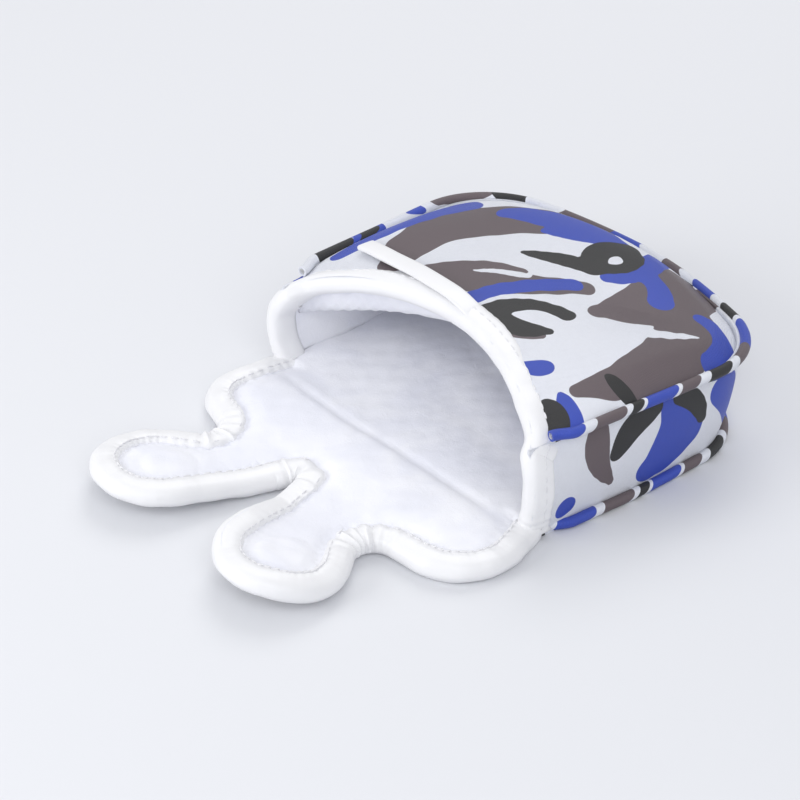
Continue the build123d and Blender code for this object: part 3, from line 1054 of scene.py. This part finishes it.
FLAP_PIECES = {}
for part in ("base", "right_lobe", "left_lobe"):
    name = "base_and_flap" if part == "base" else part
    skin = plate(name + "_leatherette", sheet_outline(part, 0.8, 0.0), 1.6,
                 (level(FOAM_LOW), level(-HALF_WALL)), LEATHERETTE)
    plan = plan_of(skin)[:, :2]
    ink_up(skin, plan, scatter(21, (-60, -85), (60, 98), {"brown": 26, "blue": 26, "charcoal": 20}))
    foam = plate(name + "_padding", sheet_outline(part, 1.2, SKIN), 3.0,
                 (level(PLUSH_LOW - 0.05), level(FOAM_LOW + 0.05)), FOAM_SHEET)
    cloth = plate(name + "_plush", sheet_outline(part, 1.2, SKIN + FOAM), 1.15 if part != "base" else 1.4,
                  (lift_base(plush_top), level(PLUSH_LOW)), PLUSH_CLOTH)
    for piece in (skin, foam, cloth):
        sharp_rims(piece)
    FLAP_PIECES[part] = (skin, foam, cloth)
print("flap layers:", {k: [len(p.data.polygons) for p in v] for k, v in FLAP_PIECES.items()})

# %% [markdown]
# ## The binding
#
# Every open edge is bound with smooth white tape, folded over the edge and sewn through. Over the foam
# it makes a fat roll. Its section is a C that follows the edge, and it is pulled into small pleats
# wherever the edge turns inwards: at the end of the slot, at both waists and in the mouth's corners.

# %% Sweep the C section
IN_PLUSH, ON_LEATHERETTE = 2.0, 3.05
C_TOP = [(-TAPE_WIDTH, 0.0), (-TAPE_WIDTH + 0.5, 0.6), (-6.0, 0.85), (-5.0, 0.95), (-4.0, 1.0), (-3.0, 0.95)]


def c_section(inset, sewn_at):
    """Points round the C, this far inside its outer face. Its sewn edge sits at this height."""
    top = [(u, sewn_at + (ROLL + 0.25 - sewn_at) * rise - inset) for u, rise in C_TOP]
    turn = np.linspace(math.pi / 2, -math.pi / 2, 12)
    end = [(-1.9 + (ROLL - inset) * math.cos(a), (ROLL - inset) * math.sin(a)) for a in turn]
    low = [(-3.4, -ROLL + inset), (-5.0, -ROLL + inset), (-6.4, -3.2 + inset), (-TAPE_WIDTH, -2.7 + inset)]
    return np.array(top + end + low)


def wrinkle(along, section, pleats, pucker):
    """How far the tape's face stands out, by the distance along the edge and the place in the section."""
    u, v = section[None, :, 0], section[None, :, 1]
    s, pleats = along[:, None], pleats[:, None]
    near_stitch = smooth_step(u, -4.0, -TAPE_WIDTH) * (v > 0)
    sewn = -pucker * near_stitch * (0.5 + 0.5 * np.cos(math.tau * s / STITCH_PITCH))
    drape = 0.16 * ripple(s, 3 * v + u, 9, 31) + 0.16 * ripple(s, v, 30, 32)
    fold = np.sin(math.tau * s / 2.5 + 0.9 * np.sin(s / 2.1)) + 0.5 * np.sin(math.tau * s / 3.9)
    return sewn + drape + 0.42 * pleats * fold * smooth_step(v, -3.2, 0.5)


def bind(path, out, lining, along, pleats, sewn_at):
    """The outer and inner grids of a bound edge: rows along the path, columns round the C."""
    outer, inner = c_section(0, sewn_at), c_section(0.75, sewn_at)
    shape = np.gradient(outer, axis=0)
    shape /= np.linalg.norm(shape, axis=1)[:, None]
    face = np.column_stack([-shape[:, 1], shape[:, 0]])
    stand = wrinkle(along, outer, pleats, 0.34 if sewn_at == IN_PLUSH else 0.1)[..., None]
    grids = []
    for section in (outer, inner):
        flat = section[None] + stand * face[None]
        grids.append(path[:, None] + flat[..., :1] * out[:, None] + flat[..., 1:] * lining[:, None])
    return grids


def unit(vectors):
    return vectors / np.linalg.norm(vectors, axis=1)[:, None]


edge_height = middle_height(FLAP_EDGE + 1.9 * EDGE_IN)
edge_path = np.column_stack([FLAP_EDGE, edge_height])
edge_along = np.arange(len(FLAP_EDGE)) * 0.7
inner_height = middle_height(FLAP_EDGE + 7 * EDGE_IN)
edge_out = unit(np.column_stack([-EDGE_IN, (edge_height - inner_height) / 5.1]))
edge_run = unit(np.gradient(edge_path, axis=0))
edge_lining = unit(np.cross(edge_run, edge_out))
edge_lining *= np.sign(edge_lining[:, 2:])
heading = np.unwrap(np.arctan2(edge_run[:, 1], edge_run[:, 0]))
turning = np.convolve(np.gradient(heading) / 0.7, np.ones(9) / 9, "same")
edge_pleats = smooth_step(turning, 0.04, 0.13) + 0.05
flap_grids = bind(edge_path, edge_out, edge_lining, edge_along, edge_pleats, IN_PLUSH)
for grid in flap_grids:
    grid[..., 2] = np.maximum(grid[..., 2], 0.02)

BINDINGS = {}
for part, (first, last) in RUNS.items():
    rows = slice(first, last + 1)
    BINDINGS[part] = shell(part + "_tape", flap_grids[0][rows], flap_grids[1][rows], TAPE_WHITE)
    sharp_rims(BINDINGS[part])
print("flap tape:", {k: len(p.data.polygons) for k, p in BINDINGS.items()})

# %% [markdown]
# ## The binding round the mouth
#
# The same tape runs on up the left wall, over the arch and down the right wall. Its path is the edge
# of the wall: a round corner joins each side wall to the arch, and the left wall has bowed out and
# forwards. Along the path the tape's lining side faces into the pouch.

# %% Sweep the mouth's tape
WALL_HEIGHTS = (3.0, 10.0, 17.0, 24.0)
CORNER_POINT = (MOUTH_HALF - 4.0, 3.0, SEAM_Z - 3.0)
ARCH_REACH = 50.0


def through(points):
    """A smooth curve through some points."""
    points = np.asarray(points, float)
    ends = np.vstack([2 * points[0] - points[1], points, 2 * points[-1] - points[-2]])
    line = []
    for k in range(1, len(ends) - 2):
        t = np.linspace(0, 1, 14, endpoint=False)[:, None]
        p0, p1, p2, p3 = ends[k - 1:k + 3]
        line.append(0.5 * (2 * p1 + (p2 - p0) * t + (2 * p0 - 5 * p1 + 4 * p2 - p3) * t**2
                           + (3 * p1 - p0 - 3 * p2 + p3) * t**3))
    return evenly(np.vstack([*line, points[-1:]]), 0.7)


right_wall = [(side_x(rake_y(z), HALF_WALL) + belly(z), rake_y(z), z) for z in WALL_HEIGHTS]
right_wall.append(CORNER_POINT)
left_wall = [(-x, y, z) for x, y, z in reversed(right_wall)]
across = np.linspace(ARCH_REACH, -ARCH_REACH, 9)
arch_plan = np.column_stack([across, arch_y(across)])
arch = np.column_stack([arch_plan, top_height(arch_plan, HALF_WALL)])
mouth_path = settle(through([*right_wall, *arch, *left_wall]))
mouth_run = unit(np.gradient(mouth_path, axis=0))
to_middle = np.column_stack([-mouth_path[:, 0] / 3.2, np.zeros(len(mouth_path)), 17 - mouth_path[:, 2]])
on_wall = smooth_step(mouth_path[:, 2], 33.5, 26)[:, None]
sideways = np.sign(-mouth_path[:, :1]) * np.array([[1, 0, 0]])
to_middle = unit((1 - on_wall) * unit(to_middle) + on_wall * sideways)
mouth_lining = unit(to_middle - (to_middle * mouth_run).sum(1)[:, None] * mouth_run)
mouth_out = np.cross(mouth_lining, mouth_run)
mouth_out *= -np.sign(mouth_out[:, 1:2])
mouth_along = np.arange(len(mouth_path)) * 0.7
corner_pleats = smooth_step(mouth_path[:, 2], 11, 3) * 1.2 + 0.04
mouth_grids = bind(mouth_path, mouth_out, mouth_lining * -1, mouth_along, corner_pleats,
                   ON_LEATHERETTE)
mouth_tape = shell("mouth_tape", *mouth_grids, TAPE_WHITE)
print("mouth tape:", len(mouth_path), "rows")

# %% [markdown]
# ## The loose end of the tape
#
# The tape starts and ends on the left half of the arch. Its end isn't tucked in: it runs on straight,
# past the curve, and lies on the panel, cut off square.

# %% The tail
MOUTH_CREST = ARCH_CENTRE_Y + ARCH_RADIUS
TAIL_ROOT_X = 10.0
TAIL_END_X = low("binding_tail", X) + 1.5
TAIL_PATH = [(TAIL_ROOT_X + (TAIL_END_X - TAIL_ROOT_X) * share, MOUTH_CREST + 3.2 + 3 * share)
             for share in np.linspace(0, 1, 6)]


def strip(name, path, width, thick, lift_end):
    """A flat strip with rounded edges that lies along a path on the dome."""
    line = through([(x, y, 0) for x, y in path])
    t = np.linspace(0, 1, len(line))
    sunk_root = 1.2 * smooth_step(t, 0.10, 0)
    on_tape = 1.8 * smooth_step(t, 0.02, 0.25) - sunk_root - 0.8 * smooth_step(t, 0.5, 0.8)
    lying = top_height(line[:, :2], 0) + on_tape + lift_end * t**3
    middle = np.column_stack([line[:, :2], lying])
    run = unit(np.gradient(middle, axis=0))
    over = unit(np.cross(run, [[0, 0, 1.0]]))
    up = np.cross(over, run)
    turn = np.linspace(0, math.tau, 20, endpoint=False)
    u = np.sign(np.cos(turn)) * np.abs(np.cos(turn)) ** 0.35 * width / 2
    v = np.sign(np.sin(turn)) * np.abs(np.sin(turn)) ** 0.6 * thick / 2
    rows = middle[:, None] + u[None, :, None] * over[:, None] + v[None, :, None] * up[:, None]
    count = len(turn)
    faces = [(i * count + j, i * count + (j + 1) % count, (i + 1) * count + (j + 1) % count,
              (i + 1) * count + j) for i in range(len(rows) - 1) for j in range(count)]
    faces += [tuple(range(count)), tuple(range((len(rows) - 1) * count, len(rows) * count))[::-1]]
    return mesh_object(name, rows.reshape(-1, 3), faces, TAPE_WHITE)


tail = strip("tape_tail", TAIL_PATH, 6.6, 1.7, 0.8)
sharp_rims(tail)
print("tail:", len(tail.data.polygons), "faces")

# %% [markdown]
# ## Piping
#
# A cord covered in the same print runs round both seams. A geometry node tree does it: it turns the
# seam's line into a curve and draws a round section along it.

# %% The piping tree


def socket_id(tree, name):
    return next(i.identifier for i in tree.interface.items_tree
                if i.name == name and i.item_type == "SOCKET" and i.in_out == "INPUT")


def new_tree(name, inputs):
    """A geometry node tree with a geometry in and out, and its named inputs."""
    tree = bpy.data.node_groups.new(name, "GeometryNodeTree")
    tree.interface.new_socket("Geometry", in_out="INPUT", socket_type="NodeSocketGeometry")
    for socket, (kind, default) in inputs.items():
        made = tree.interface.new_socket(socket, in_out="INPUT", socket_type=kind)
        if default is not None:
            made.default_value = default
    tree.interface.new_socket("Geometry", in_out="OUTPUT", socket_type="NodeSocketGeometry")
    return tree, Wiring(tree)


def piping_tree():
    """A round section drawn along a line of edges."""
    tree, wire = new_tree("piping", {"Radius": ("NodeSocketFloat", 0.0017),
                                     "Finish": ("NodeSocketMaterial", None)})
    given = wire.add("NodeGroupInput")
    line = wire.add("GeometryNodeMeshToCurve", Mesh=given.outputs["Geometry"])
    ring = wire.add("GeometryNodeCurvePrimitiveCircle", {"mode": "RADIUS"}, Resolution=20,
                    Radius=given.outputs["Radius"])
    drawn = wire.add("GeometryNodeCurveToMesh", Curve=line.outputs["Curve"],
                     Fill_Caps=True)
    wire.feed(drawn, "Profile Curve", ring.outputs["Curve"])
    solid = wire.add("GeometryNodeRealizeInstances", Geometry=drawn.outputs["Mesh"])
    smooth = wire.add("GeometryNodeSetShadeSmooth", Geometry=solid.outputs["Geometry"])
    finish = wire.add("GeometryNodeSetMaterial", Geometry=smooth.outputs["Geometry"],
                      Material=given.outputs["Finish"])
    wire.feed(wire.add("NodeGroupOutput"), "Geometry", finish.outputs["Geometry"])
    return tree


def run_tree(source, tree, name, **inputs):
    """Runs a tree on a source mesh and keeps what it makes as a plain mesh."""
    modifier = source.modifiers.new(tree.name, "NODES")
    modifier.node_group = tree
    for socket, value in inputs.items():
        modifier[socket_id(tree, socket.replace("_", " "))] = value
    ready = source.evaluated_get(bpy.context.evaluated_depsgraph_get())
    mesh = bpy.data.meshes.new_from_object(ready)
    mesh.name = name
    bpy.data.objects.remove(source)
    piece = bpy.data.objects.new(name, mesh)
    scene.collection.objects.link(piece)
    return piece


def line_object(name, points):
    """An object that holds only a line, for a tree to work on."""
    mesh = bpy.data.meshes.new(name)
    mesh.from_pydata([tuple(float(c) * MM for c in p) for p in points],
                     [(i, i + 1) for i in range(len(points) - 1)], [])
    line = bpy.data.objects.new(name, mesh)
    scene.collection.objects.link(line)
    return line


PIPING = piping_tree()
BANDS = {"blue": [(10, 5), (46, 5), (94, 6), (122, 4)], "brown": [(26, 5), (58, 3), (84, 5)],
         "charcoal": [(37, 1.6), (70, 3.5), (108, 3)], "white": []}
piping, cords = {}, {}
CORD_RADIUS = (high("top_piping_cord", Z) - low("top_piping_cord", Z)) / 2
for name, height, start in (("top_piping_cover", SEAM_Z, 8.5), ("bottom_piping_cover", PIPING_RADIUS, 8.0)):
    line = evenly(pouch_outline(-1.4, start), 1.2)
    line[:, 0] -= np.sign(line[:, 0]) * 2.8 * smooth_step(line[:, 1], start + 8, start)
    dip = 0.25 * ripple(np.arange(len(line)), 0, 26, 4)
    drop = 1.6 * smooth_step(line[:, 1], 60, 100)
    seam = tuck_under(np.column_stack([line, np.maximum(height + dip - drop, PIPING_RADIUS)]))
    piece = run_tree(line_object(name + "_line", seam), PIPING, name,
                     Radius=PIPING_RADIUS * MM, Finish=LEATHERETTE)
    pattern = scatter(31 + int(height), (135, -2), (SIDE_LENGTH - 6, 4),
                      {"brown": 5, "blue": 6, "charcoal": 3})
    for ink, bands in BANDS.items():
        shift = 0 if height > 10 else 5
        pattern[ink] = pattern[ink] + [[(s + shift - 4, -4, w * 0.7), (s + shift + 4, 4, w)]
                                       for s, w in bands]
    flat = along_side(plan_of(piece))
    ink_up(piece, np.column_stack([flat[:, 0], flat[:, 1] - height]), pattern)
    piping[name] = piece
    core = name.replace("cover", "core")
    cords[core] = run_tree(line_object(core + "_line", seam), PIPING, core, Radius=CORD_RADIUS * MM,
                           Finish=CORD)
print("piping:", {n: len(p.data.polygons) for n, p in piping.items()})

# %% [markdown]
# ## Stitches
#
# Each stitch is a short rounded bar that dips into the tape. The line of the seam carries a point for
# every stitch, with its direction, and a node tree sets a bar on each along it.

# %% The stitch tree


def stitch_tree():
    """A bar of thread on every point, along its heading."""
    tree, wire = new_tree("stitches", {"Thread": ("NodeSocketFloat", 0.00028),
                                       "Length": ("NodeSocketFloat", 0.0024),
                                       "Finish": ("NodeSocketMaterial", None)})
    given = wire.add("NodeGroupInput")
    points = wire.add("GeometryNodeMeshToPoints", Mesh=given.outputs["Geometry"])
    ball = wire.add("GeometryNodeMeshUVSphere", Segments=8, Rings=6, Radius=0.5)
    size = wire.add("ShaderNodeCombineXYZ", Z=given.outputs["Length"])
    wire.feed(size, "X", wire.math("MULTIPLY", given.outputs["Thread"], 2.0))
    wire.feed(size, "Y", wire.math("MULTIPLY", given.outputs["Thread"], 2.0))
    heading = wire.add("GeometryNodeInputNamedAttribute", {"data_type": "FLOAT_VECTOR"}, Name="heading")
    turned = wire.add("FunctionNodeAlignRotationToVector", {"axis": "Z"}, Vector=heading.outputs["Attribute"])
    placed = wire.add("GeometryNodeInstanceOnPoints", Points=points.outputs["Points"],
                      Instance=ball.outputs["Mesh"], Rotation=turned.outputs["Rotation"],
                      Scale=size.outputs["Vector"])
    solid = wire.add("GeometryNodeRealizeInstances", Geometry=placed.outputs["Instances"])
    smooth = wire.add("GeometryNodeSetShadeSmooth", Geometry=solid.outputs["Geometry"])
    finish = wire.add("GeometryNodeSetMaterial", Geometry=smooth.outputs["Geometry"],
                      Material=given.outputs["Finish"])
    wire.feed(wire.add("NodeGroupOutput"), "Geometry", finish.outputs["Geometry"])
    return tree


STITCHES = stitch_tree()


def stitch_row(name, grid, column, raise_by, along):
    """Stitches along one column of a bound edge's outer grid."""
    line, beside = grid[:, column], grid[:, column + 1] - grid[:, column - 1]
    run = unit(np.gradient(line, axis=0))
    face = unit(np.cross(run, beside))
    middle = grid.mean(1)
    face *= np.sign(((line - middle) * face).sum(1))[:, None]
    stops = np.arange(math.ceil(along[0] / STITCH_PITCH) + 0.5, along[-1] / STITCH_PITCH) * STITCH_PITCH
    rows = np.clip(np.searchsorted(along, stops), 0, len(line) - 1)
    source = line_object(name + "_line", line[rows] + raise_by * face[rows])
    stored = source.data.attributes.new("heading", "FLOAT_VECTOR", "POINT")
    stored.data.foreach_set("vector", run[rows].astype(np.float32).ravel())
    return run_tree(source, STITCHES, name, Finish=THREAD)


STITCH_COLUMN = 2
threads = {}
for part, (first, last) in RUNS.items():
    rows = slice(first, last + 1)
    threads[part] = stitch_row(part + "_stitches", flap_grids[0][rows], STITCH_COLUMN, 0.08, edge_along[rows])
threads["mouth"] = stitch_row("mouth_stitches", mouth_grids[0], 4, 0.0, mouth_along)
print("stitches:", {n: len(p.data.polygons) // 40 for n, p in threads.items()})

# %% [markdown]
# ## What each piece rides on
#
# The pouch's pieces, the mouth's tape and its stitches, the tail and the piping ride on the pouch, and the
# slot's tape and stitches ride on the flap. The other pieces of the base, the flap and the lobes have their
# placement baked into their meshes and ride on no body.


def bends(piece):
    """Bakes the piece's placement into its mesh; the piece rides on no body."""
    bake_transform(piece)


def stands_for(nodes):
    for node in nodes:
        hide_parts(node)


for pieces in (TOP_PIECES, SIDE_PIECES):
    for piece, (node, slot) in pieces.items():
        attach(piece, "pouch")
        stands_for([node])
LAYERS = (("panel", "printed_leatherette"), ("foam", "foam"), ("lining", "plush"))
for part, pieces in FLAP_PIECES.items():
    for piece, (layer, slot) in zip(pieces, LAYERS):
        if part == "base":
            bends(piece)
            nodes = [f"bottom_{layer}", f"flap_{layer}"] + (["flap_fold_strip"] if layer == "lining" else [])
        else:
            bends(piece)
            nodes = [f"{part}_{layer}"] + ([f"{part}_fold_strip"] if layer == "lining" else [])
        stands_for(nodes)
for part in RUNS:
    for piece in (BINDINGS[part], threads[part]):
        if part == "slot":
            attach(piece, "flap")
        elif part.endswith("lobe"):
            bends(piece)
        else:
            bends(piece)
    node = {"right_flap": "right_flap_binding", "left_flap": "left_flap_binding", "slot": "slot_flap_binding",
            "right_lobe": "right_lobe_binding", "left_lobe": "left_lobe_binding"}[part]
    stands_for([node])
for piece, nodes, slot in ((mouth_tape, ["mouth_binding"], "binding"), (tail, ["binding_tail"], "binding"),
                           (threads["mouth"], [], "binding"),
                           (cords["top_piping_core"], ["top_piping_cord"], "cord"),
                           (cords["bottom_piping_core"], ["bottom_piping_cord"], "cord"),
                           (piping["top_piping_cover"], ["top_piping"], "printed_leatherette"),
                           (piping["bottom_piping_cover"], ["bottom_piping"], "printed_leatherette")):
    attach(piece, "pouch")
    stands_for(nodes)
print("bodies set for", len(frame["nodes"]), "solids")

# %% [markdown]
# ## The flat sizes of the sheets
#
# Each cover layer is a sheet that was cut flat, each foam layer is padding, and the tape is a strip
# that was folded. The flat sizes of the top panel, its lining and the flap's leatherette and plush are
# worked out from their spans and areas; nothing else is done with them.


def plan_area(piece):
    """Half of a thin piece's whole surface, in square metres: the area of the sheet."""
    return sum(p.area for p in piece.data.polygons) / 2


def flat_size(piece, margin=1.02):
    points = plan_of(piece)
    width, depth = (points[:, k].max() - points[:, k].min() for k in (0, 1))
    area = plan_area(piece)
    return (max(width * MM, area / (depth * MM)) * margin, depth * MM * margin), area


for piece in (top_panel, top_lining):
    size, area = flat_size(piece)
for part, (skin, foam, cloth) in FLAP_PIECES.items():
    for piece in (skin, cloth):
        size, area = flat_size(piece)
print("declared", len(RUNS) + 12, "soft pieces")

# %% [markdown]
# ## Hidden hardware
#
# The magnets are the CAD solids themselves. They only need their finish.

# %% Finishes of the CAD solids
for name in frame["nodes"]:
    part = bpy.data.objects.get(name)
    if part is None or "magnet" not in name:
        continue
    part.data.materials.clear()
    part.data.materials.append(NICKEL)
print("finishes set on the hardware")
